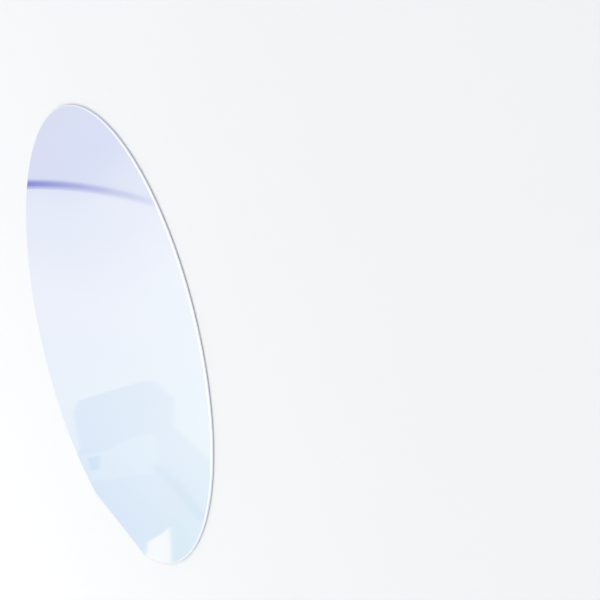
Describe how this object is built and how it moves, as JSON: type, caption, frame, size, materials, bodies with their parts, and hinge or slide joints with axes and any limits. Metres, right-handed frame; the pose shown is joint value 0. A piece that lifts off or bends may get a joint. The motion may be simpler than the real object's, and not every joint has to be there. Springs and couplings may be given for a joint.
{
  "type": "silicon wafer",
  "caption": "Thin round wafer of single-crystal silicon with a primary flat, a ground and rounded edge, and a mirror-polished front face under a thin blue-violet film.",
  "frame": {"origin": "centre of the disc on its back face", "axes": "+Z out of the polished front face, -Y towards the primary flat, +X along the flat"},
  "size_m": [0.0762, 0.0745, 0.0004],
  "materials": {
    "wafer": "mirror polished silicon under a thin film that goes from violet through blue to teal"
  },
  "bodies": {
    "root": {"wafer": "wafer"}
  },
  "joints": []
}
